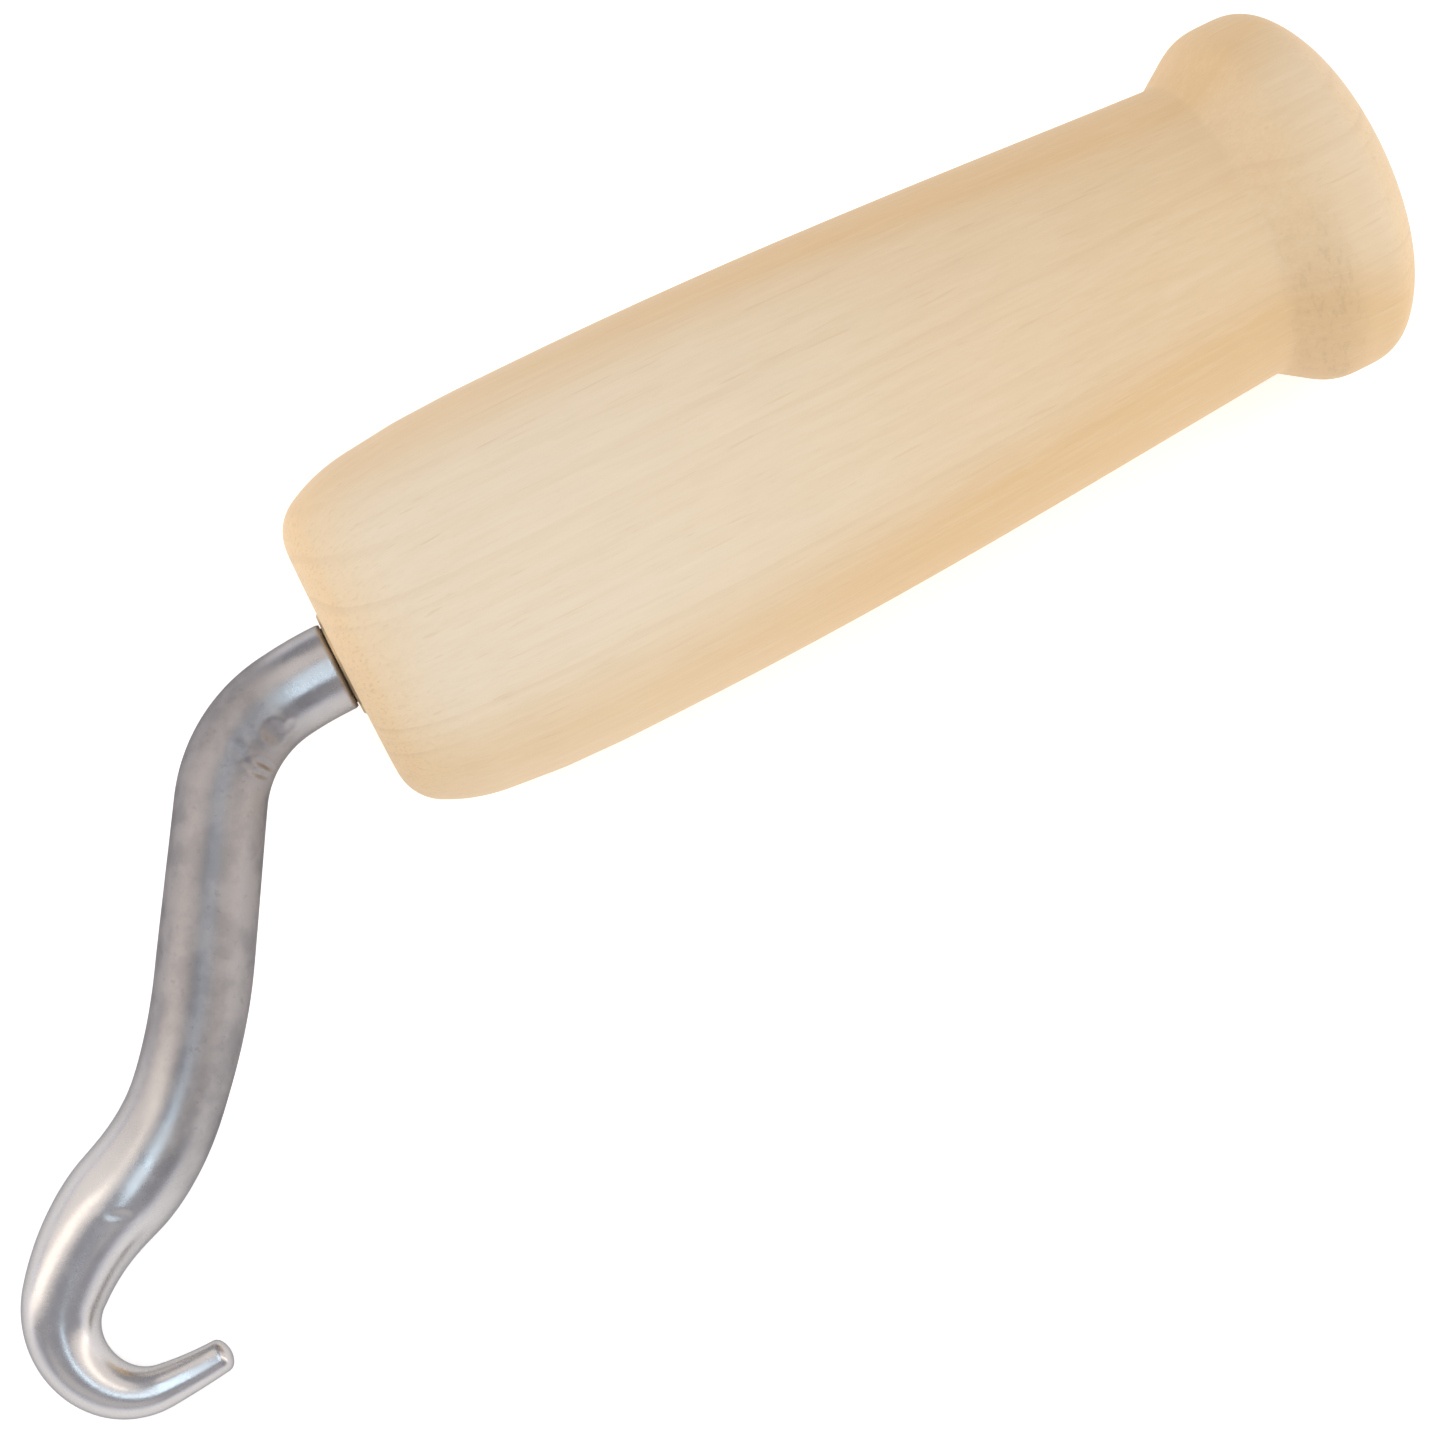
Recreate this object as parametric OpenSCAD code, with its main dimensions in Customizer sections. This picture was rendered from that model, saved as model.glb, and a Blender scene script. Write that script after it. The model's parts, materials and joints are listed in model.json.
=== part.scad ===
// Wire twisting hook: a cranked steel hook whose straight shank turns freely
// in a turned wooden handle. The tool lies on a flat surface at z = 0.
// The handle's axis runs along X, with its butt towards +X and the hook towards -X and -Y.

/* [Handle] */
// Length of the wooden handle
handle_l = 112; // [108:1:130]
// Largest diameter, at the grip and at the butt
handle_d = 38; // [36:1:42]
// Diameter of the flat front face
face_d = 23.6; // [22:0.2:25]
// Diameter of the waist in front of the butt
waist_d = 31.2; // [28:0.2:33]
// Length of the straight band round the grip
band_l = 6; // [4:1:10]
// Length of the straight band round the butt
crown_l = 2.5; // [1:0.5:4]
// Clearance hole through the middle of the handle
core_d = 8.8; // [8.6:0.1:9.2]

/* [Bushes] */
// Outer diameter of both bushes
bush_d = 9.6; // [9.4:0.1:10.6]
// Length of the front bush behind its flange
front_bush_l = 20; // [12:1:30]
// Length of the rear bush
rear_bush_l = 22; // [12:1:30]
// Diameter of the front bush's flange
flange_d = 11; // [10.8:0.1:13]
// Thickness of that flange
flange_t = 1.6; // [1.2:0.1:2.4]
// How far the flange stands out of the wood
flange_proud = 0.3; // [0.2:0.1:0.8]
// Interference of each bush in the wood, on the diameter
press = 0.04; // [0.02:0.01:0.06]

/* [Shank] */
// Diameter of the journal that the handle turns on
journal_d = 8; // [7.6:0.1:8.4]
// Running clearance between journal and bushes, on the diameter
running = 0.1; // [0.06:0.02:0.16]
// End play of the handle at each end
end_play = 0.15; // [0.1:0.05:0.3]
// Diameter of the shoulder that bears on the front bush
shoulder_d = 9.3; // [9.3:0.1:10]
// Thickness of that shoulder
shoulder_t = 1.2; // [0.8:0.1:2]
// Diameter of the riveted tenon behind the journal
tenon_d = 6.4; // [5.6:0.1:6.8]

/* [Retention] */
// Diameter of the recess in the butt
recess_d = 15; // [14.6:0.1:17]
// Depth of that recess
recess_h = 6; // [5:0.5:8]
// Diameter of the washer in the recess
washer_d = 14; // [12.5:0.1:14.2]
// Thickness of the washer
washer_t = 1.6; // [1:0.1:2]
// Diameter of the riveted head
head_d = 10.5; // [9:0.1:11.5]
// Height of the riveted head
head_h = 2.2; // [1.6:0.1:2.6]

/* [Hook] */
// Angle of the crank between the handle's axis and the arm
crank_angle = 58; // [50:1:60]
// Radius of the crank
crank_r = 14; // [12:1:18]
// Length of the straight arm after the crank
arm_l = 16; // [12:1:22]
// Radius of the bowl of the hook
bowl_r = 7.5; // [6.5:0.1:9]
// Diameter of the arm at its thickest, just before the bowl
swell_d = 10.5; // [9.6:0.1:11]
// Diameter of the hook's tip
tip_d = 3.3; // [2.4:0.1:4]

/* [Hidden] */
$fn = 96;

axis_h = handle_d / 2;
bush_bore_d = journal_d + running;
pocket_d = bush_d - press;
flange_seat = flange_t - flange_proud;
recess_x = handle_l - recess_h;
washer_gap = 0.2;
washer_hole_d = tenon_d + washer_gap;
edge = 0.25;

// The nose of the handle, its butt and the hook are drawn as legs, one after the other.
// A leg is [radius, turn in degrees], or [length, 0] where it is straight.
arc_step = 6;
nose_legs = [[5, -62], [18, -20], [90, -8]];
cone_angle = 34;
crown_r = 5;
end_legs = [[4, -45], [10.5, -45]];

// Each leg of the hook also holds the diameter of the rod at its end
slow_bend = 8;
hook_legs = [
    [40, slow_bend, 9.0],
    [crank_r, crank_angle - slow_bend, 9.1],
    [arm_l, 0, 9.6],
    [60, -12, 9.3],
    [25, -25, swell_d],
    [24, 26, 8.2],
    [bowl_r, 80, 6.0],
    [6.6, 50, 4.3],
    [50, 7, tip_d]
];
rod_sides = 20;

// The rounded end of the tip: its rings, how far round they reach, and its length in tip radii
tip_rings = 4;
tip_turn = 75;
tip_length = 0.6;

shoulder_x = -flange_proud - end_play;
rod_x = shoulder_x - shoulder_t / 2;
rod_d = 9.1;
step_x = recess_x + end_play;
head_x = step_x + washer_t;

// Point reached from p after an arc or straight that starts at heading h
function leg_end(p, h, leg, share) =
    leg[1] == 0
        ? p + leg[0] * share * [cos(h), sin(h)]
        : let (g = h + leg[1] * share, s = sign(leg[1]) * leg[0])
            p + s * [sin(g) - sin(h), cos(h) - cos(g)];

// Stations [x, y, heading, diameter] along a chain of legs, the start left out
function walk(legs, p, h, d = 0, i = 0) =
    i == len(legs)
        ? []
        : let (
            leg = legs[i],
            steps = max(1, ceil(abs(leg[1]) / arc_step)),
            d_end = is_undef(leg[2]) ? d : leg[2]
        )
        concat(
            [for (k = [1:steps])
                let (share = k / steps, q = leg_end(p, h, leg, share))
                [q[0], q[1], h + leg[1] * share, d + (d_end - d) * share]],
            walk(legs, leg_end(p, h, leg, 1), h + leg[1], d_end, i + 1)
        );

function place(stations) = [for (s = stations) [s[0], s[1]]];

// Outline of the handle from its front face to its butt, as [x, radius]
nose = walk(nose_legs, [0, face_d / 2], 90);
nose_rise = nose[len(nose) - 1][1] - face_d / 2;
nose_fit = (handle_d - face_d) / 2 / nose_rise;
nose_l = nose[len(nose) - 1][0];
cone_rise = (handle_d - waist_d) / 2 - crown_r * (1 - cos(cone_angle));
butt = walk(
    concat([[cone_rise / sin(cone_angle), 0], [crown_r, -cone_angle], [crown_l, 0]], end_legs),
    [0, waist_d / 2],
    cone_angle
);
waist_x = handle_l - butt[len(butt) - 1][0];
taper_x = nose_l + band_l;
taper_wave = 110;
taper_steps = 14;
function taper_drop(share) = (1 - cos(taper_wave * share)) / (1 - cos(taper_wave));
taper = [
    for (k = [0:taper_steps])
        let (share = k / taper_steps)
        [taper_x + (waist_x - taper_x) * share,
            handle_d / 2 - (handle_d - waist_d) / 2 * taper_drop(share)]
];
handle_outline = concat(
    [[0, face_d / 2]],
    [for (p = place(nose)) [p[0], face_d / 2 + (p[1] - face_d / 2) * nose_fit]],
    taper,
    [for (p = place(butt)) [waist_x + p[0], p[1]]]
);

// Centre line of the rod in the plane of the hook: x along the handle, v away from its axis
spine = concat([[rod_x, 0, 180, rod_d]], walk(
    [for (leg = hook_legs) [leg[0], -leg[1], leg[2]]], [rod_x, 0], 180, rod_d));

// Outline of the domed head that is riveted over the washer
dome_r = (head_d * head_d / 4 + head_h * head_h) / (2 * head_h);
dome_angle = asin(head_d / 2 / dome_r);
dome_steps = 6;
head_dome = [
    for (k = [dome_steps:-1:0])
        let (a = dome_angle * k / dome_steps)
        [head_x + head_h - dome_r * (1 - cos(a)), dome_r * sin(a)]
];

// The hook leans down until its bowl touches the surface that the handle lies on
lean = min([for (s = spine) if (s[1] > axis_h) asin((axis_h - s[3] / 2) / s[1])]);

// The origin is under the middle of the whole tool
hook_x = min([for (s = spine) s[0] - s[3] / 2 * abs(sin(s[2]))]);
hook_y = -max([for (s = spine) s[1] * cos(lean) + s[3] / 2]);
origin_x = (hook_x + handle_l) / 2;
origin_y = (hook_y + handle_d / 2) / 2;

// Moves a piece that is built round the X axis, with the front face at x = 0, to its place
module lay() {
    translate([-origin_x, -origin_y, axis_h]) children();
}

// Turns a piece that is built up the Z axis on to the X axis
module along_x() {
    rotate([0, 90, 0]) children();
}

// A round bar on the X axis
module bar(d, from, to) {
    translate([from, 0, 0]) along_x() cylinder(h = to - from, d = d);
}

// A solid turned about the X axis from an outline of [x, radius] points
module turned(outline) {
    along_x() rotate_extrude() polygon([for (p = outline) [p[1], p[0]]]);
}

// A sleeve on the X axis with broken edges, from its outer outline and its bore
module sleeve(d, bore, from, to) {
    turned([
        [from, bore / 2 + edge / 2],
        [from, d / 2 - edge],
        [from + edge, d / 2],
        [to - edge, d / 2],
        [to, d / 2 - edge],
        [to, bore / 2 + edge / 2],
        [to - edge / 2, bore / 2],
        [from + edge / 2, bore / 2]
    ]);
}

// The rod from the shoulder to the tip, swept along the spine in the plane of the hook
module swept_rod() {
    last = spine[len(spine) - 1];
    tip_r = last[3] / 2;
    cap = [
        for (k = [1:tip_rings])
            let (a = tip_turn * k / tip_rings, reach = tip_length * tip_r * sin(a))
            [last[0] + reach * cos(last[2]), last[1] + reach * sin(last[2]), last[2], 2 * tip_r * cos(a)]
    ];
    rings = concat(spine, cap);
    points = [
        for (s = rings, k = [0:rod_sides - 1])
            let (a = 360 * k / rod_sides, u = s[3] / 2 * cos(a), w = s[3] / 2 * sin(a))
            [s[0] - u * sin(s[2]), s[1] + u * cos(s[2]), w]
    ];
    sides = [
        for (i = [0:len(rings) - 2], k = [0:rod_sides - 1])
            let (j = (k + 1) % rod_sides, a = i * rod_sides, b = a + rod_sides)
            [a + k, b + k, b + j, a + j]
    ];
    first_face = [for (k = [0:rod_sides - 1]) k];
    last_face = [for (k = [rod_sides - 1:-1:0]) (len(rings) - 1) * rod_sides + k];
    polyhedron(points, concat([first_face], sides, [last_face]), convexity = 6);
}

module handle() {
    color("burlywood") lay() difference() {
        turned(concat([[0, 0]], handle_outline, [[handle_l, 0]]));
        bar(core_d, -1, handle_l + 1);
        bar(flange_d, -1, flange_seat);
        bar(pocket_d, -1, flange_seat + front_bush_l);
        bar(pocket_d, recess_x - rear_bush_l, handle_l + 1);
        bar(recess_d, recess_x, handle_l + 1);
    }
}

module front_bush() {
    color("peru") lay() union() {
        sleeve(flange_d, bush_bore_d, -flange_proud, flange_seat);
        sleeve(bush_d, bush_bore_d, flange_seat - flange_t / 2, flange_seat + front_bush_l);
    }
}

module rear_bush() {
    color("peru") lay() sleeve(bush_d, bush_bore_d, recess_x - rear_bush_l, recess_x);
}

module hook_shank() {
    color("slategray") lay() union() {
        turned(concat(
            [
                [shoulder_x - shoulder_t, 0],
                [shoulder_x - shoulder_t, shoulder_d / 2],
                [shoulder_x, shoulder_d / 2],
                [shoulder_x, journal_d / 2],
                [step_x, journal_d / 2],
                [step_x, tenon_d / 2],
                [head_x, tenon_d / 2]
            ],
            head_dome
        ));
        rotate([lean, 0, 0]) mirror([0, 1, 0]) swept_rod();
    }
}

module rear_washer() {
    color("silver") lay() sleeve(washer_d, washer_hole_d, step_x, head_x);
}

handle();
front_bush();
rear_bush();
hook_shank();
rear_washer();
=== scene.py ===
import json
import math

import bmesh
import bpy
import numpy as np
from mathutils import Matrix, Vector


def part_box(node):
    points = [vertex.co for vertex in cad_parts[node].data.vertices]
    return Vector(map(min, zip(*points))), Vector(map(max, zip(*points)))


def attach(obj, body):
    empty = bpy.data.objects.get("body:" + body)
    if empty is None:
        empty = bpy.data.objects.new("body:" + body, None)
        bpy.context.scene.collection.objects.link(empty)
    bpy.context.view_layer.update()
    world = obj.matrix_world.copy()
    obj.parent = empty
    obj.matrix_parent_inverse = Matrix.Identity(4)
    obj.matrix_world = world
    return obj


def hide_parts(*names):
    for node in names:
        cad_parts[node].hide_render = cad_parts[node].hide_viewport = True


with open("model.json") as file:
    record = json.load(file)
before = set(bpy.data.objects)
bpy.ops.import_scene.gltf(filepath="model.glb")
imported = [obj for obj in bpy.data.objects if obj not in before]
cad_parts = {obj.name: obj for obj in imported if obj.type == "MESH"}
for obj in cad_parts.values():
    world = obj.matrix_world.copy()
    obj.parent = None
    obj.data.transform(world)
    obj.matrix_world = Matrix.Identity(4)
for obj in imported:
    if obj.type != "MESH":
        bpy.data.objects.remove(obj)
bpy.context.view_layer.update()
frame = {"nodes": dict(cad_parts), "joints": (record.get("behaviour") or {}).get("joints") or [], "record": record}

# ---------------------------------------------------------------- places, all from the frame

MM = 0.001
AXIS = Vector(frame["joints"][0]["pos_m"])          # a point on the handle's axis, which runs along X
HANDLE_LOW, HANDLE_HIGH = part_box("handle")
WASHER_LOW, WASHER_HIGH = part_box("rear_washer")
REAR_BUSH_LOW, REAR_BUSH_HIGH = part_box("rear_bush")
FRONT_BUSH_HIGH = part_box("front_bush")[1]
SHANK_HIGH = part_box("hook_shank")[1]
FACE_X = HANDLE_LOW.x                               # the handle's front face
BUTT_X = HANDLE_HIGH.x
HANDLE_R = (HANDLE_HIGH.z - HANDLE_LOW.z) / 2
HANDLE_L = BUTT_X - FACE_X
FACE_CENTRE = Vector((FACE_X, AXIS.y, AXIS.z))

MOUNTS = {mount["name"]: mount for mount in frame["record"]["mounts"]}
BUTT_FACE_X = MOUNTS["butt_face"]["pos_m"][0]
BOWL_X = MOUNTS["hook_bowl"]["pos_m"][0]
HOOK_NORMAL = Vector(MOUNTS["hook_bowl"]["axis"]).normalized()
HOOK_DOWN = Vector((1, 0, 0)).cross(HOOK_NORMAL)    # in the hook's plane, away from the handle's axis

# ---------------------------------------------------------------- the hook's shape, in millimetres

# Each leg of the rod is (radius, turn in degrees, diameter at its end), or (length, 0, diameter)
HOOK_LEGS = [
    (0.6, 0, 9.1),
    (40, 8, 9.0),
    (14, 50, 9.1),
    (16, 0, 9.6),
    (60, -12, 9.3),
    (25, -25, 10.5),
    (24, 26, 8.2),
    (7.5, 80, 6.0),
    (6.6, 50, 4.3),
    (50, 7, 3.3),
]
SHOULDER_MM = 0.45         # the shoulder's face, in front of the handle's front face
SHOULDER_D_MM = 9.1
SHOULDER_EDGE_MM = 0.25    # how much the shoulder's edge is broken, on the diameter
TIP_ANGLES = [15, 30, 45, 58, 70, 80]
TIP_LENGTH = 0.6           # the rounded tip's length, as a share of its radius
ROD_SIDES = 96
ROD_SKIN_MM = 0.045        # keeps the round rod inside the flats of the CAD one
RING_STEP_MM = 0.3
WIDTH_SMOOTHING = 14       # rings to each side over which the diameter is averaged

# The dimple, nicks and dents of the crank, and a forging crease in front of the bowl. Each has its distance
# along the rod, its angle from the top towards the inside of the crank, half its length, half its width,
# its slant in radians and its depth
DENTS = [
    (9.2, 31, 1.05, 1.05, 0.0, 0.20),
    (7.4, 40, 0.7, 0.5, 0.5, 0.12),
    (13.0, 48, 0.36, 1.3, 0.0, 0.20),
    (14.4, 48, 0.36, 1.2, 0.0, 0.14),
    (12.8, 4, 0.7, 0.7, 0.0, 0.10),
    (58.8, 14, 0.45, 1.1, 0.7, 0.08),
]
RIM_HEIGHT = 0.35          # of the rim pushed up round a dent, as a share of the dent's depth
RIM_AT = 1.55              # the rim's place and its width, in half sizes of the dent
RIM_WIDTH = 0.35

# Inside the handle
JOURNAL_D_MM = 8.0
TENON_D_MM = 6.4
HEAD_D_MM = 10.5
HEAD_RINGS = 22
HEAD_FULLNESS = 0.8        # under 1, the riveted head is flatter on top than an ellipsoid
JOURNAL_LAP_MM = 0.1       # how far the journal reaches into the swept rod
JOURNAL_SIDES = 96
END_PLAY_MM = 0.15         # between the washer and the floor of its recess
WASHER_ROOM_MM = 0.5       # between the washer's edge and the wall of its recess
RECESS_CHAMFER_MM = 0.3
FLANGE_SEAT_MM = 1.0       # depth of the seat that the front bush's flange covers
HANDLE_SIDES = 160
HANDLE_STEP_MM = 0.3
HANDLE_ROUNDING_MM = 0.6


def walk(legs, start, width, step):
    """Stations (x, v, heading, width) every step along a chain of arcs and straights, in millimetres.
    x runs along the handle's axis, v away from it, and a heading of 0 points out of the front face."""
    x, v, heading = start[0], start[1], 0.0
    stations = [(x, v, heading, width)]
    for size, turn, end_width in legs:
        angle = math.radians(turn)
        length = size * abs(angle) if turn else size
        count = max(2, round(length / step))
        for k in range(1, count + 1):
            middle = heading + angle / count / 2
            x -= length / count * math.cos(middle)
            v += length / count * math.sin(middle)
            heading += angle / count
            stations.append((x, v, heading, width + (end_width - width) * k / count))
        width = end_width
    return np.array(stations)


def smoothed(values, reach):
    """A running average over reach values to each side, with the end values repeated past the ends."""
    padded = np.pad(values, reach, mode="edge")
    kernel = np.hanning(2 * reach + 3)[1:-1]
    return np.convolve(padded, kernel / kernel.sum(), mode="valid")


def distances_along(points):
    """The distance of each point from the first, along the line through them all."""
    return np.concatenate([[0], np.cumsum(np.hypot(*np.diff(points, axis=0).T))])


def hook_point(x, v, w=0.0):
    """A point of the hook in the row frame, from millimetres along the axis, away from it and out of the
    hook's plane."""
    return FACE_CENTRE + Vector((x * MM, 0, 0)) + HOOK_DOWN * (v * MM) + HOOK_NORMAL * (w * MM)


# ---------------------------------------------------------------- meshes

def new_object(name, points, faces, uvs=None):
    mesh = bpy.data.meshes.new(name)
    mesh.from_pydata([tuple(p) for p in points], [], faces)
    mesh.validate()
    if uvs is not None:
        layer = mesh.uv_layers.new(name="uv")
        layer.data.foreach_set("uv", np.array(uvs, np.float32).ravel())
    mesh.polygons.foreach_set("use_smooth", [True] * len(mesh.polygons))
    obj = bpy.data.objects.new(name, mesh)
    bpy.context.scene.collection.objects.link(obj)
    return obj


def outward(obj):
    """Turns every face so that its normal points out of the solid."""
    b = bmesh.new()
    b.from_mesh(obj.data)
    bmesh.ops.recalc_face_normals(b, faces=b.faces)
    b.to_mesh(obj.data)
    b.free()


def skin(rings, sides, lengths, side_width):
    """Faces and UVs from each ring of points to the next, and from the last back to the first where
    lengths, the distance of each ring along the piece, has one value more than there are rings."""
    faces, uvs = [], []
    for i in range(len(lengths) - 1):
        j = (i + 1) % rings
        v0, v1 = lengths[i], lengths[i + 1]
        for k in range(sides):
            n = (k + 1) % sides
            faces.append((i * sides + k, i * sides + n, j * sides + n, j * sides + k))
            u0, u1 = k * side_width, (k + 1) * side_width
            uvs += [(u0, v0), (u1, v0), (u1, v1), (u0, v1)]
    return faces, uvs


def lathe(name, outline, sides, closed=False):
    """Turns an outline of (x, radius), in metres in the row frame, about the handle's axis.
    An open outline starts and ends on the axis."""
    rings = [place for place in outline if closed or place[1] > 0]
    angles = np.arange(sides) * 2 * math.pi / sides
    points = [
        (x, AXIS.y + radius * math.sin(a), AXIS.z + radius * math.cos(a))
        for x, radius in rings
        for a in angles
    ]
    lengths = distances_along(np.array(rings + rings[:1] if closed else rings))
    faces, uvs = skin(len(rings), sides, lengths, 2 * math.pi * HANDLE_R / sides)
    if not closed:
        for ring, x, flip in ((0, outline[0][0], True), (len(rings) - 1, outline[-1][0], False)):
            centre = len(points)
            points.append((x, AXIS.y, AXIS.z))
            for k in range(sides):
                a, b = ring * sides + k, ring * sides + (k + 1) % sides
                faces.append((centre, b, a) if flip else (centre, a, b))
                uvs += [(0.0, 0.0)] * 3
    return new_object(name, points, faces, uvs)


def outer_outline(node, least):
    """The outer outline (x, radius) of a turned CAD node, read from those points of its mesh that are
    further than least from the axis."""
    co = np.array([v.co for v in frame["nodes"][node].data.vertices])
    radius = np.hypot(co[:, 1] - AXIS.y, co[:, 2] - AXIS.z)
    co, radius = co[radius > least], radius[radius > least]
    x = np.round(co[:, 0], 5)
    return [(value, radius[x == value].max()) for value in np.unique(x)]


def resampled(outline, step):
    points = np.array(outline)
    along = distances_along(points)
    count = max(2, int(along[-1] / step))
    wanted = np.linspace(0, along[-1], count + 1)
    return np.column_stack([np.interp(wanted, along, points[:, k]) for k in (0, 1)])


def rounded(outline, step, reach):
    """An outline with its corners rounded over about reach metres, its ends kept."""
    soft = resampled(outline, step)
    span = max(1, round(reach / step))
    kernel = np.hanning(2 * span + 3)[1:-1]
    for _ in range(2):
        for k in (0, 1):
            kept = soft[:, k].copy()
            # mirrored about each end, so that the end tangents stay
            start = 2 * kept[0] - kept[span:0:-1]
            end = 2 * kept[-1] - kept[-2:-span - 2:-1]
            line = np.concatenate([start, kept, end])
            soft[:, k] = np.convolve(line, kernel / kernel.sum(), mode="valid")
    return soft


# ---------------------------------------------------------------- node trees

ACROSS = (0, 1, 1)         # keeps a vector's part across the handle's axis


class Shader:
    """A material's node tree, built a node at a time."""

    def __init__(self, name):
        self.material = bpy.data.materials.new(name)
        self.material.use_nodes = True
        self.tree = self.material.node_tree
        self.bsdf = self.tree.nodes["Principled BSDF"]
        coords = self.add("ShaderNodeTexCoord")
        self.place = coords.outputs["Object"]
        self.normal = coords.outputs["Normal"]

    def add(self, kind, inputs=None, **settings):
        node = self.tree.nodes.new(kind)
        for key, value in settings.items():
            setattr(node, key, value)
        for key, value in (inputs or {}).items():
            self.put(node.inputs[key], value)
        return node

    def put(self, socket, value):
        if isinstance(value, bpy.types.NodeSocket):
            self.tree.links.new(value, socket)
        else:
            socket.default_value = value

    def set(self, **inputs):
        for key, value in inputs.items():
            self.put(self.bsdf.inputs[key.replace("_", " ")], value)

    def math(self, operation, a, b=0.0, clamp=False):
        return self.add("ShaderNodeMath", {0: a, 1: b}, operation=operation, use_clamp=clamp).outputs[0]

    def vector(self, operation, a, b=(0, 0, 0), out="Vector"):
        return self.add("ShaderNodeVectorMath", {0: a, 1: b}, operation=operation).outputs[out]

    def split(self, vector):
        return self.add("ShaderNodeSeparateXYZ", {0: vector}).outputs

    def joined(self, x, y=0.0):
        return self.add("ShaderNodeCombineXYZ", {0: x, 1: y}).outputs[0]

    def cells_of(self, size_mm):
        """The place in units of the given size in millimetres along each axis."""
        return self.vector("MULTIPLY", self.place, tuple(1 / (s * MM) for s in size_mm))

    def noise(self, vector, detail=3.0, roughness=0.55):
        inputs = {"Vector": vector, "Scale": 1.0, "Detail": detail, "Roughness": roughness}
        return self.add("ShaderNodeTexNoise", inputs).outputs["Fac"]

    def ramp(self, value, low, high, to_low=0.0, to_high=1.0, smooth=True):
        inputs = {"Value": value, "From Min": low, "From Max": high, "To Min": to_low, "To Max": to_high}
        kind = "SMOOTHSTEP" if smooth else "LINEAR"
        return self.add("ShaderNodeMapRange", inputs, interpolation_type=kind).outputs[0]

    def mix(self, share, a, b):
        node = self.add("ShaderNodeMix", data_type="RGBA", blend_type="MIX")
        for key, value in ((0, share), (6, a), (7, b)):
            self.put(node.inputs[key], value)
        return node.outputs[2]

    def bump(self, height, distance_mm, strength=1.0, below=None):
        inputs = {"Height": height, "Distance": distance_mm * MM, "Strength": strength}
        if below is not None:
            inputs["Normal"] = below
        return self.add("ShaderNodeBump", inputs).outputs[0]


def grey(value):
    return (value, value, value, 1.0)


def finish_material(obj, material):
    obj.data.materials.clear()
    obj.data.materials.append(material)


# ---------------------------------------------------------------- wood

# The pale tone and the orange one are partly sapwood and heartwood and partly painted light and shade: the pale
# one on the side facing the camera, the orange one on the flanks
SAPWOOD_AND_LIT_TONE = (0.765, 0.655, 0.485, 1)
HEARTWOOD_AND_FLANK_SHADE = (0.69, 0.482, 0.252, 1)
LATEWOOD = (0.56, 0.38, 0.21, 1)
PALE_FIBRE = (0.87, 0.78, 0.62, 1)
PORE = (0.50, 0.34, 0.20, 1)
END_GRAIN = (0.78, 0.56, 0.31, 1)
END_PORE = (0.62, 0.42, 0.23, 1)
# dark marks of torn grain, and also painted shade along the low side of the cove
TORN_GRAIN_AND_SHADE = (0.46, 0.32, 0.18, 1)

# Cells of the grain in millimetres, along the handle and then across it
DRIFT_CELL = (40, 7, 7)
WANDER_CELL = (90, 9, 9)
FIBRE_CELL = (5.5, 0.28, 0.28)
STREAK_CELL = (11, 0.9, 0.9)
LINE_CELL = (8, 0.45, 0.45)
FLECK_CELL = (2.4, 0.14, 0.14)
END_DOT_CELL = (0.9, 0.30, 0.30)
TEAR_CELL = (0.6, 1.6, 1.6)
TOOL_MARK_CELL = (0.42, 60, 60)

# the direction that is painted palest, towards the camera; the flanks are painted darker away from it
SAPWOOD_AND_LIT_SIDE = (HOOK_NORMAL - HOOK_DOWN * 0.03).normalized()
DRIFT_SHARE = 0.25
RING_MM = 1.7
RING_WANDER_MM = 2.2
SHADES_PER_RING = 0.6                   # how often the darkness of the rings changes
PITH_TO_AXIS = (0, 0.045, 0.030)        # from the tree's pith to the handle's axis, in metres
COVE_FROM_BUTT_MM = 12.0


def handle_x(share):
    """The x of a place along the handle, from 0 at its front face to 1 at its butt."""
    return FACE_X + share * HANDLE_L


def heartwood_and_flank_shade_share(s, place_x, off_axis):
    """None on the side that faces the camera, and more round its flanks and towards the butt: partly sapwood and
    heartwood, partly painted shade, the flanks darker where they turn from the light. The flare's crest is a
    painted highlight."""
    drift = s.math("SUBTRACT", s.noise(s.cells_of(DRIFT_CELL), detail=2), 0.5)
    drift = s.math("MULTIPLY", drift, DRIFT_SHARE)
    outwards = s.vector("NORMALIZE", s.vector("MULTIPLY", off_axis, ACROSS))
    side = s.vector("DOT_PRODUCT", outwards, tuple(SAPWOOD_AND_LIT_SIDE), out="Value")
    # painted shade: darker and more orange round the flanks, as they turn away from the light
    flank = s.ramp(s.math("ADD", side, drift), 0.92, 0.50, 0.0, 0.70)
    butt = s.ramp(place_x, handle_x(0.15), handle_x(0.85), 0.0, 0.66)
    # painted highlight: paler on the flare's crest, where it turns to the light
    crown_highlight = s.ramp(place_x, handle_x(0.89), handle_x(0.97), 0.0, -0.30)
    along = s.math("ADD", butt, crown_highlight)
    return s.math("ADD", s.math("ADD", flank, along), drift, clamp=True)


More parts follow.
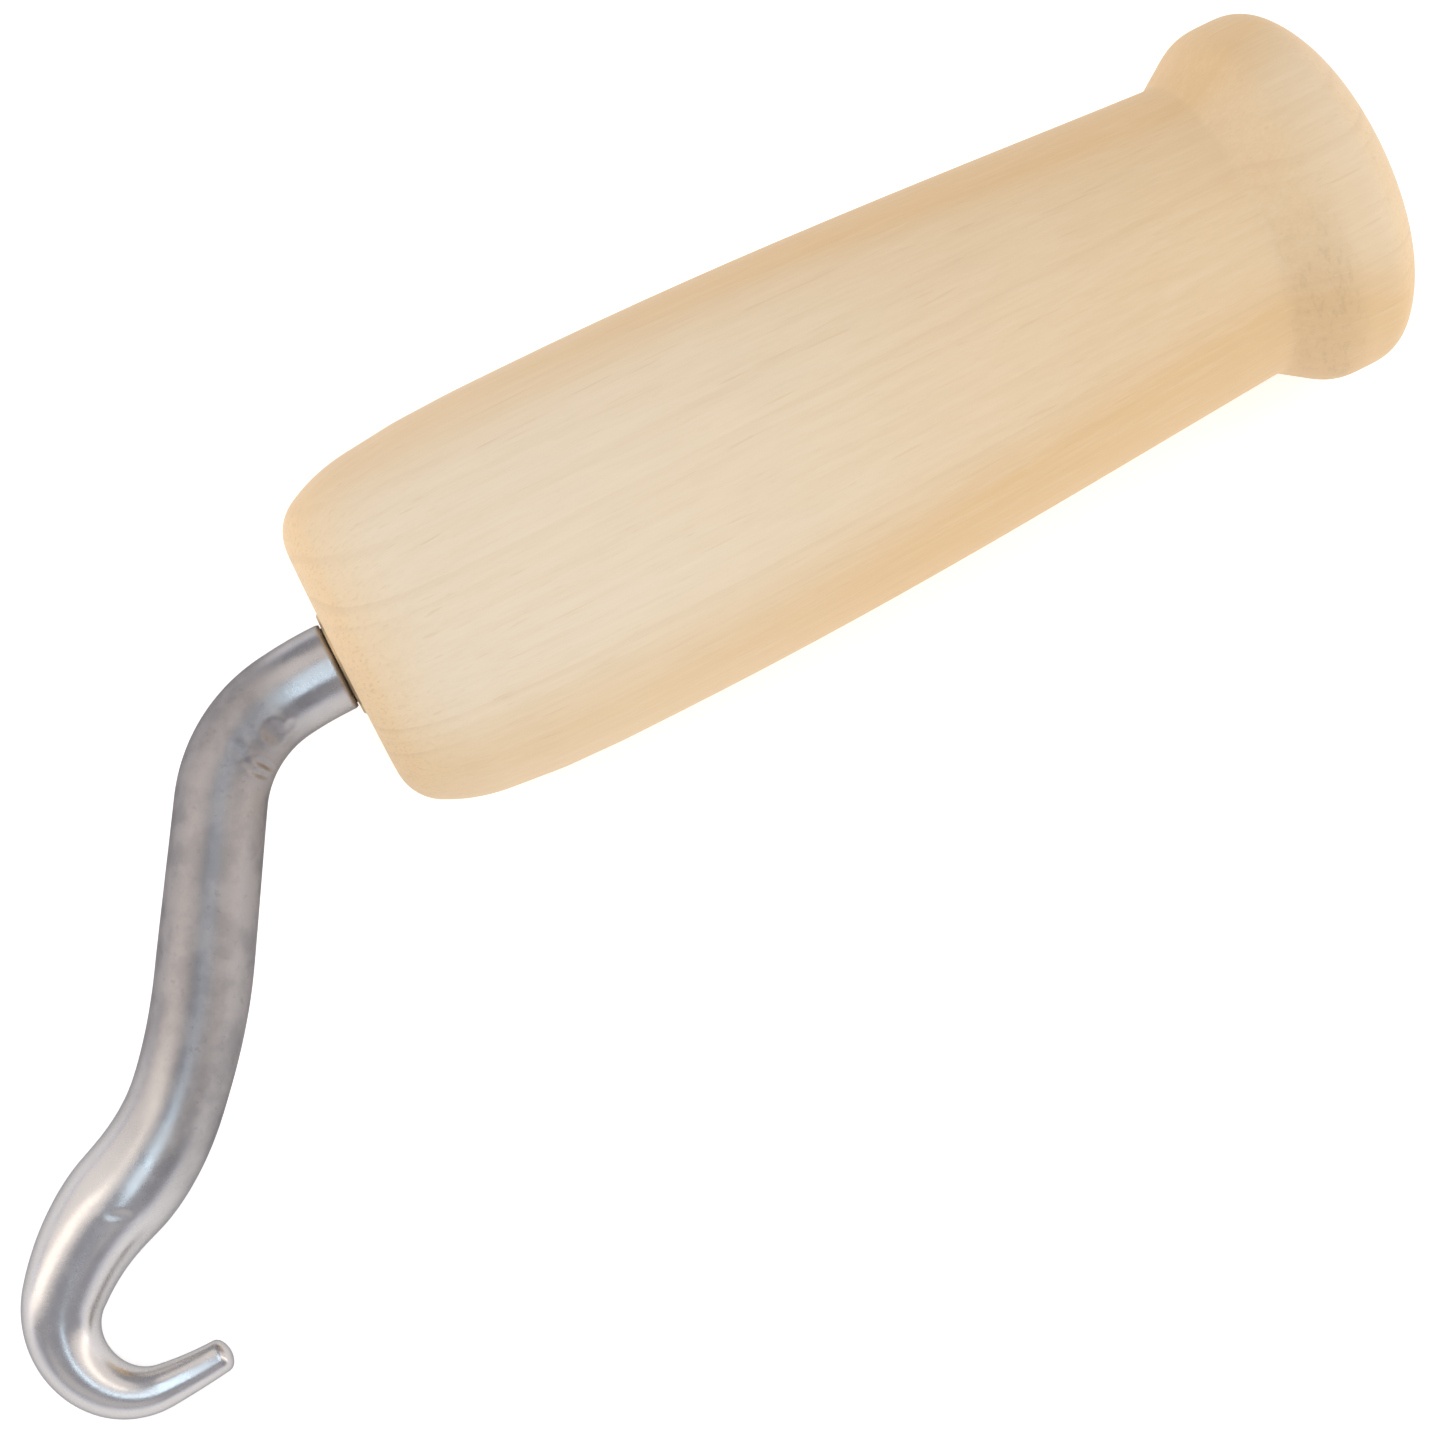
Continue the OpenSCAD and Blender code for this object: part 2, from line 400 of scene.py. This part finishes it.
def growth_rings(s, off_axis):
    """Rings about a pith far outside the blank, so they run along the barrel as straight faint lines."""
    wander = s.math("MULTIPLY", s.noise(s.cells_of(WANDER_CELL), detail=1), RING_WANDER_MM * MM)
    from_pith = s.vector("MULTIPLY", s.vector("ADD", off_axis, PITH_TO_AXIS), ACROSS)
    radius = s.math("ADD", s.vector("LENGTH", from_pith, out="Value"), wander)
    ring = s.math("FRACT", s.math("MULTIPLY", radius, 1 / (RING_MM * MM)))
    late = s.math("MULTIPLY", s.ramp(ring, 0.35, 0.92), s.ramp(ring, 1.0, 0.93))
    # some years are darker than others
    year = s.noise(s.joined(s.math("MULTIPLY", radius, SHADES_PER_RING / (RING_MM * MM))), detail=1)
    return s.math("MULTIPLY", late, s.ramp(year, 0.40, 0.70, 0.02, 0.13))


def streaked(s, colour, fibre):
    """Long thin streaks along the handle, lighter and darker, and a few dark lines."""
    streak = s.noise(s.cells_of(STREAK_CELL), detail=3)
    fine_shade = s.math("MULTIPLY", s.math("SUBTRACT", fibre, 0.5), 0.36)
    broad_shade = s.math("MULTIPLY", s.math("SUBTRACT", streak, 0.5), 0.34)
    shade = s.math("ADD", fine_shade, broad_shade)
    colour = s.mix(s.math("MULTIPLY", shade, 1.0, clamp=True), colour, LATEWOOD)
    colour = s.mix(s.math("MULTIPLY", shade, -1.0, clamp=True), colour, PALE_FIBRE)
    line = s.ramp(s.noise(s.cells_of(LINE_CELL), detail=1), 0.66, 0.76)
    return s.mix(s.math("MULTIPLY", line, 0.20), colour, LATEWOOD)


def end_grain_share(s, place_x):
    """End grain shows wherever the surface turns away from the fibres: full at the nose and half at the
    butt, and faint on the slope in front of the butt, which is cut the other way."""
    normal_x = s.split(s.normal)[0]
    nose = s.ramp(place_x, handle_x(0.5), handle_x(0.4))
    forward = s.math("ADD", s.math("MULTIPLY", nose, 0.65), 0.1)
    front_end = s.math("MULTIPLY", s.ramp(normal_x, -0.12, -0.70), forward)
    return s.math("ADD", front_end, s.ramp(normal_x, 0.15, 0.8, 0.0, 0.5))


def end_grain_colour(s, dots, late):
    colour = s.mix(s.ramp(dots, 0.50, 0.72, 0.0, 0.7), END_GRAIN, END_PORE)
    return s.mix(s.math("MULTIPLY", late, 3.2, clamp=True), colour, END_PORE)


def torn_grain_and_cove_shade(s, place_x, off_y):
    """Torn grain in the cove in front of the butt, mostly on the blank's low flank, over an even darkening there
    that is painted shade.
    """
    from_cove = s.math("SUBTRACT", place_x, BUTT_FACE_X - COVE_FROM_BUTT_MM * MM)
    cove = s.ramp(s.math("ABSOLUTE", from_cove), 4.6 * MM, 1.0 * MM)
    low_flank = s.ramp(s.math("MULTIPLY", off_y, -1 / HANDLE_R), 0.30, 0.85, 0.12, 1.0)
    tear = s.ramp(s.noise(s.cells_of(TEAR_CELL), detail=3, roughness=0.65), 0.50, 0.68)
    # the share that does not follow the marks is painted shade along the cove's low side
    rough = s.math("ADD", s.math("MULTIPLY", tear, 0.6), 0.4)
    return s.math("MULTIPLY", s.math("MULTIPLY", cove, low_flank), rough)


def wood():
    s = Shader("turned_wood")
    off_axis = s.vector("SUBTRACT", s.place, tuple(AXIS))
    off_y = s.split(off_axis)[1]
    place_x = s.split(s.place)[0]
    late = growth_rings(s, off_axis)
    fibre = s.noise(s.cells_of(FIBRE_CELL), detail=3, roughness=0.6)
    fleck = s.ramp(s.noise(s.cells_of(FLECK_CELL), detail=2), 0.66, 0.78)     # short open pores
    dots = s.noise(s.cells_of(END_DOT_CELL), detail=2)
    end = end_grain_share(s, place_x)
    torn_and_cove_shade = torn_grain_and_cove_shade(s, place_x, off_y)

    colour = s.mix(heartwood_and_flank_shade_share(s, place_x, off_axis), SAPWOOD_AND_LIT_TONE, HEARTWOOD_AND_FLANK_SHADE)
    colour = s.mix(late, colour, LATEWOOD)
    colour = streaked(s, colour, fibre)
    colour = s.mix(s.math("MULTIPLY", fleck, 0.16), colour, PORE)
    colour = s.mix(end, colour, end_grain_colour(s, dots, late))
    colour = s.mix(s.math("MULTIPLY", torn_and_cove_shade, 0.36, clamp=True), colour, TORN_GRAIN_AND_SHADE)
    s.set(Base_Color=colour, Specular_IOR_Level=0.35, IOR=1.5)
    s.set(Roughness=s.ramp(fibre, 0.3, 0.7, 0.62, 0.52, smooth=False))

    # tool marks round the handle, then the raised grain along it, then the pits of torn and end grain
    marks = s.bump(s.noise(s.cells_of(TOOL_MARK_CELL), detail=2), 0.02, 0.4)
    grain = s.bump(s.math("ADD", fibre, s.math("MULTIPLY", fleck, -0.6)), 0.05, 0.5, marks)
    pitted = s.math("MULTIPLY", s.math("ADD", torn_and_cove_shade, s.math("MULTIPLY", end, dots)), -1.0)
    s.set(Normal=s.bump(pitted, 0.10, 0.5, grain))
    return s.material


# ---------------------------------------------------------------- metals

STEEL_DARK = (0.248, 0.236, 0.238, 1)
STEEL_LIGHT = (0.325, 0.307, 0.303, 1)
STEEL_SPECK = (0.16, 0.15, 0.15, 1)
STEEL_WORN = (0.56, 0.545, 0.535, 1)
STEEL_EDGE_TINT = (0.42, 0.42, 0.44, 1)     # steel reflects less than a mirror would at its edges
BRONZE = (0.46, 0.33, 0.19, 1)
BRONZE_STAIN = (0.26, 0.18, 0.10, 1)
ZINC = (0.62, 0.63, 0.64, 1)
ZINC_STAIN = (0.44, 0.44, 0.43, 1)

# Cells of the metals' patterns in millimetres
CLOUD_CELL = (3.2, 3.2, 3.2)
SPECK_CELL = (0.9, 0.9, 0.9)
FINE_CELL = (0.35, 0.35, 0.35)
HAMMER_CELL = (5, 5, 5)
STAIN_CELL = (2.2, 2.2, 2.2)
LATHE_RING_MM = 0.12


def steel():
    """Forged steel, with its bowl rubbed bright by the wire and its neck by the hand."""
    s = Shader("forged_steel")
    place_x = s.split(s.place)[0]
    rubbed = s.ramp(place_x, BOWL_X + 19 * MM, BOWL_X + 1 * MM)
    worn = s.ramp(place_x, BOWL_X + 14 * MM, BOWL_X - 2 * MM)
    neck = s.ramp(place_x, FACE_X - 10 * MM, FACE_X - 4 * MM)
    smooth = s.math("MAXIMUM", rubbed, neck)
    bright = s.math("MAXIMUM", s.math("MULTIPLY", worn, 0.9), s.math("MULTIPLY", neck, 0.5))
    cloud = s.noise(s.cells_of(CLOUD_CELL), detail=4, roughness=0.55)
    fine = s.noise(s.cells_of(FINE_CELL), detail=3, roughness=0.65)
    speck = s.ramp(s.noise(s.cells_of(SPECK_CELL), detail=3), 0.60, 0.74)

    colour = s.mix(s.ramp(cloud, 0.35, 0.65), STEEL_DARK, STEEL_LIGHT)
    colour = s.mix(s.math("MULTIPLY", speck, 0.30), colour, STEEL_SPECK)
    colour = s.mix(bright, colour, STEEL_WORN)
    rough = s.ramp(cloud, 0.3, 0.7, 0.40, 0.50, smooth=False)
    rough = s.math("ADD", rough, s.math("MULTIPLY", smooth, -0.18))
    rough = s.math("ADD", rough, s.math("MULTIPLY", s.math("SUBTRACT", fine, 0.5), 0.08))
    s.set(Base_Color=colour, Metallic=1.0, Roughness=rough, Specular_Tint=STEEL_EDGE_TINT)

    hammered = s.bump(s.noise(s.cells_of(HAMMER_CELL), detail=2), 0.20, 0.25)
    pitted = s.math("SUBTRACT", fine, s.math("MULTIPLY", speck, 0.5))
    pitted = s.math("MULTIPLY", pitted, s.ramp(smooth, 0.0, 1.0, 1.0, 0.35))
    s.set(Normal=s.bump(pitted, 0.032, 0.35, hammered))
    return s.material


def turned_metal(name, light, dark, roughness):
    """A small turned part: fine rings round its axis, with a few darker stains."""
    s = Shader(name)
    off_axis = s.vector("SUBTRACT", s.place, tuple(AXIS))
    off_x = s.split(off_axis)[0]
    radius = s.vector("LENGTH", s.vector("MULTIPLY", off_axis, ACROSS), out="Value")
    per_ring = 1 / (LATHE_RING_MM * MM)
    ring_place = s.joined(s.math("MULTIPLY", radius, per_ring), s.math("MULTIPLY", off_x, per_ring))
    rings = s.noise(ring_place, detail=2)
    stain = s.noise(s.cells_of(STAIN_CELL), detail=4)
    s.set(Base_Color=s.mix(s.ramp(stain, 0.42, 0.66), light, dark), Metallic=1.0)
    s.set(Roughness=s.ramp(stain, 0.3, 0.7, roughness - 0.08, roughness + 0.1, smooth=False))
    s.set(Normal=s.bump(rings, 0.012, 0.6))
    return s.material


# ---------------------------------------------------------------- pieces

def make_handle(material):
    face_r = FRONT_BUSH_HIGH.y - AXIS.y
    seat_x = FACE_X + FLANGE_SEAT_MM * MM
    bore_r = (REAR_BUSH_HIGH.z - REAR_BUSH_LOW.z) / 2
    recess_r = (WASHER_HIGH.y - WASHER_LOW.y) / 2 + WASHER_ROOM_MM * MM
    recess_x = WASHER_LOW.x - END_PLAY_MM * MM
    chamfer = RECESS_CHAMFER_MM * MM
    outside = rounded(
        [(FACE_X, face_r), *outer_outline("handle", HANDLE_R / 2), (BUTT_X, recess_r + chamfer)],
        HANDLE_STEP_MM * MM,
        HANDLE_ROUNDING_MM * MM,
    )
    inside = [
        (BUTT_X - chamfer, recess_r),
        (recess_x, recess_r),
        (recess_x, bore_r),
        (seat_x, bore_r),
        (seat_x, face_r),
    ]
    outline = [tuple(p) for p in outside] + inside
    handle = lathe("handle_turned", outline, HANDLE_SIDES, closed=True)
    outward(handle)
    finish_material(handle, material)
    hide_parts("handle")
    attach(handle, "grip")


def dent_depths(stations, angles):
    """How far each point of the rod is pushed in by the dents, in millimetres."""
    along, around = np.meshgrid(distances_along(stations[:, :2]), np.degrees(angles), indexing="ij")
    radius = stations[:, 3][:, None] / 2
    depths = np.zeros_like(along)
    for at, angle, half_l, half_w, slant, depth in DENTS:
        ds = along - at
        da = np.radians((around - angle + 180) % 360 - 180) * radius
        u = ds * math.cos(slant) + da * math.sin(slant)
        w = da * math.cos(slant) - ds * math.sin(slant)
        q = (u / half_l) ** 2 + (w / half_w) ** 2
        rim = RIM_HEIGHT * np.exp(-((np.sqrt(q) - RIM_AT) / RIM_WIDTH) ** 2)
        depths += depth * (np.exp(-q ** 1.5) - rim)
    return depths


def tip_stations(tip):
    """The stations of the rounded tip, past the last station of the rod."""
    x, v, heading, width = tip
    stations = []
    for angle in np.radians(TIP_ANGLES):
        reach = TIP_LENGTH * width / 2 * math.sin(angle)
        end = (x - reach * math.cos(heading), v + reach * math.sin(heading))
        stations.append((*end, heading, width * math.cos(angle)))
    return stations


def make_rod(material):
    stations = walk(HOOK_LEGS, (-SHOULDER_MM, 0.0), SHOULDER_D_MM, RING_STEP_MM)
    stations[:, 3] = smoothed(stations[:, 3], WIDTH_SMOOTHING)
    stations[0, 3] -= SHOULDER_EDGE_MM
    stations = np.vstack([stations, tip_stations(stations[-1])])
    angles = np.arange(ROD_SIDES) * 2 * math.pi / ROD_SIDES
    depths = dent_depths(stations, angles)
    points = []
    for (x, v, heading, width), ring_depths in zip(stations, depths):
        for a, depth in zip(angles, ring_depths):
            # angle 0 is the top of the rod, and 90 degrees its side towards the inside of the crank
            r = width / 2 - ROD_SKIN_MM - depth
            side = r * math.sin(a)
            points.append(hook_point(x + side * math.sin(heading), v + side * math.cos(heading),
                                     r * math.cos(a)))
    # a side of the rod is about as wide as a ring is long
    faces, uvs = skin(len(stations), ROD_SIDES, distances_along(stations[:, :2]) * MM, RING_STEP_MM * MM)
    for ring, flip in ((0, True), (len(stations) - 1, False)):
        face = [ring * ROD_SIDES + k for k in range(ROD_SIDES)]
        faces.append(face[::-1] if flip else face)
        uvs += [(0.0, 0.0)] * ROD_SIDES
    rod = new_object("hook_rod", points, faces, uvs)
    outward(rod)
    finish_material(rod, material)
    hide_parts("hook_shank")
    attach(rod, "hook")


def make_journal(material):
    """The part of the shank in the handle, from its shoulder to the riveted head in the butt."""
    front_x = FACE_X - (SHOULDER_MM + JOURNAL_LAP_MM) * MM
    journal_r = JOURNAL_D_MM / 2 * MM
    tenon_r = TENON_D_MM / 2 * MM
    head_r = HEAD_D_MM / 2 * MM
    step_x = WASHER_LOW.x
    head_x = WASHER_HIGH.x
    head_h = SHANK_HIGH.x - head_x
    dome = [
        (head_x + head_h * math.cos(a) ** HEAD_FULLNESS, head_r * math.sin(a))
        for a in np.radians(np.linspace(88, 4, HEAD_RINGS))
    ]
    outline = [
        (front_x, 0.0),
        (front_x, journal_r),
        (step_x, journal_r),
        (step_x, tenon_r),
        (head_x, tenon_r),
        (head_x, head_r),
        *dome,
        (head_x + head_h, 0.0),
    ]
    journal = lathe("shank_journal", outline, JOURNAL_SIDES)
    outward(journal)
    finish_material(journal, material)
    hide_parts("hook_shank")
    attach(journal, "hook")


def finish_cad_pieces():
    """The bushes and the washer stay as they are in CAD, with better materials."""
    bronze = turned_metal("dull_bronze", BRONZE, BRONZE_STAIN, 0.42)
    zinc = turned_metal("zinc_plate", ZINC, ZINC_STAIN, 0.34)
    for node in ("front_bush", "rear_bush"):
        finish_material(frame["nodes"][node], bronze)
    finish_material(frame["nodes"]["rear_washer"], zinc)


# ---------------------------------------------------------------- studio

CAMERA_LENS_MM = 75
SENSOR_MM = 36
# The camera's place and directions: along the handle's axis, up the hook's plane and out of it
CAMERA_FROM_FACE_MM = (3.21, -21.48, 294.0)
CAMERA_FORWARD = (0.09237, 0.0, -0.99572)
CAMERA_RIGHT = (0.88907, -0.45027, 0.08248)

# Each soft box has how far right and up of the camera's own direction it stands, its distance from the
# origin and its size in metres, its watts and its colour
SOFT_BOXES = [
    ("left_box", -1.20, 0.55, 1.0, (1.2, 1.4), 4.6, (1.0, 0.905, 0.80)),
    ("left_strip", -1.85, -0.10, 0.9, (0.24, 1.3), 1.15, (1.0, 0.90, 0.78)),
    ("right_box", 1.20, 0.45, 1.0, (1.2, 1.4), 4.2, (1.0, 0.905, 0.80)),
    ("right_strip", 1.30, 0.15, 0.9, (0.20, 1.3), 1.3, (1.0, 0.90, 0.78)),
    ("low_box", -0.25, -1.0, 0.9, (0.9, 0.35), 0.4, (1.0, 0.91, 0.80)),
    ("front_strip", 0.05, 0.05, 0.9, (0.12, 0.75), 1.0, (0.66, 0.86, 1.0)),
]

# The walls' strength at their foot and above, and the heights, as the sine of the angle, that it fades over
WALL_COLOUR = (0.88, 0.89, 1.0, 1)
WALL_FADE = {"From Min": 0.08, "From Max": 0.24, "To Min": 1.15, "To Max": 0.48}

FLOOR_HALF = 8.0           # metres
FLOOR_DROP_MM = 0.05       # keeps the floor clear of what lies on it
FLOOR_ALBEDO = 0.74
FLOOR_GLOW_NEAR = 0.54
FLOOR_GLOW_FAR = 0.80


def from_plane(x, up, out):
    """A direction given in the hook's plane, in the row frame."""
    return Vector((x, 0, 0)) - HOOK_DOWN * up + HOOK_NORMAL * out


def make_camera():
    data = bpy.data.cameras.new("camera")
    data.lens = CAMERA_LENS_MM
    data.sensor_width = SENSOR_MM
    camera = bpy.data.objects.new("camera", data)
    bpy.context.scene.collection.objects.link(camera)
    forward = from_plane(*CAMERA_FORWARD).normalized()
    right = from_plane(*CAMERA_RIGHT).normalized()
    up = right.cross(forward)
    camera.matrix_world = Matrix((right, up, -forward)).transposed().to_4x4()
    camera.location = FACE_CENTRE + from_plane(*CAMERA_FROM_FACE_MM) * MM
    bpy.context.scene.camera = camera
    return camera


def soft_box(name, direction, distance, size, watts, colour):
    data = bpy.data.lights.new(name, "AREA")
    data.shape = "RECTANGLE"
    data.size, data.size_y = size
    data.energy = watts
    data.color = colour
    lamp = bpy.data.objects.new(name, data)
    bpy.context.scene.collection.objects.link(lamp)
    lamp.location = direction.normalized() * distance
    lamp.rotation_euler = (-lamp.location).to_track_quat("-Z", "Y").to_euler()


def studio_walls():
    """Walls that are white where they meet the floor, and dimmer above."""
    world = bpy.data.worlds.new("world")
    world.use_nodes = True
    tree = world.node_tree
    background = tree.nodes["Background"]
    coords = tree.nodes.new("ShaderNodeTexCoord")
    split = tree.nodes.new("ShaderNodeSeparateXYZ")
    fade = tree.nodes.new("ShaderNodeMapRange")
    fade.interpolation_type = "SMOOTHSTEP"
    for key, value in WALL_FADE.items():
        fade.inputs[key].default_value = value
    tree.links.new(coords.outputs["Generated"], split.inputs[0])
    tree.links.new(split.outputs["Z"], fade.inputs["Value"])
    tree.links.new(fade.outputs[0], background.inputs["Strength"])
    background.inputs["Color"].default_value = WALL_COLOUR
    bpy.context.scene.world = world


def light_table():
    """A pale floor that glows a little, so that shadows stay faint, and more beyond the soft boxes."""
    corners = [(-1, -1), (1, -1), (1, 1), (-1, 1)]
    points = [(x * FLOOR_HALF, y * FLOOR_HALF, 0) for x, y in corners]
    floor = new_object("floor", points, [(0, 1, 2, 3)])
    floor.location.z = -FLOOR_DROP_MM * MM
    s = Shader("pale_floor")
    far = s.vector("LENGTH", s.place, out="Value")
    s.set(Base_Color=grey(FLOOR_ALBEDO), Roughness=0.8, Specular_IOR_Level=0.1)
    s.set(Emission_Color=grey(1.0))
    s.set(Emission_Strength=s.ramp(far, 0.5, 1.1, FLOOR_GLOW_NEAR, FLOOR_GLOW_FAR))
    finish_material(floor, s.material)


def make_studio(camera):
    right, up, back = camera.matrix_world.to_3x3().col
    for name, to_right, to_up, distance, size, watts, colour in SOFT_BOXES:
        soft_box(name, back + right * to_right + up * to_up, distance, size, watts, colour)
    studio_walls()
    light_table()
    bpy.context.scene.view_settings.view_transform = "Standard"


# ---------------------------------------------------------------- the scene

wood_material = wood()
steel_material = steel()
make_handle(wood_material)
make_rod(steel_material)
make_journal(steel_material)
finish_cad_pieces()
make_studio(make_camera())
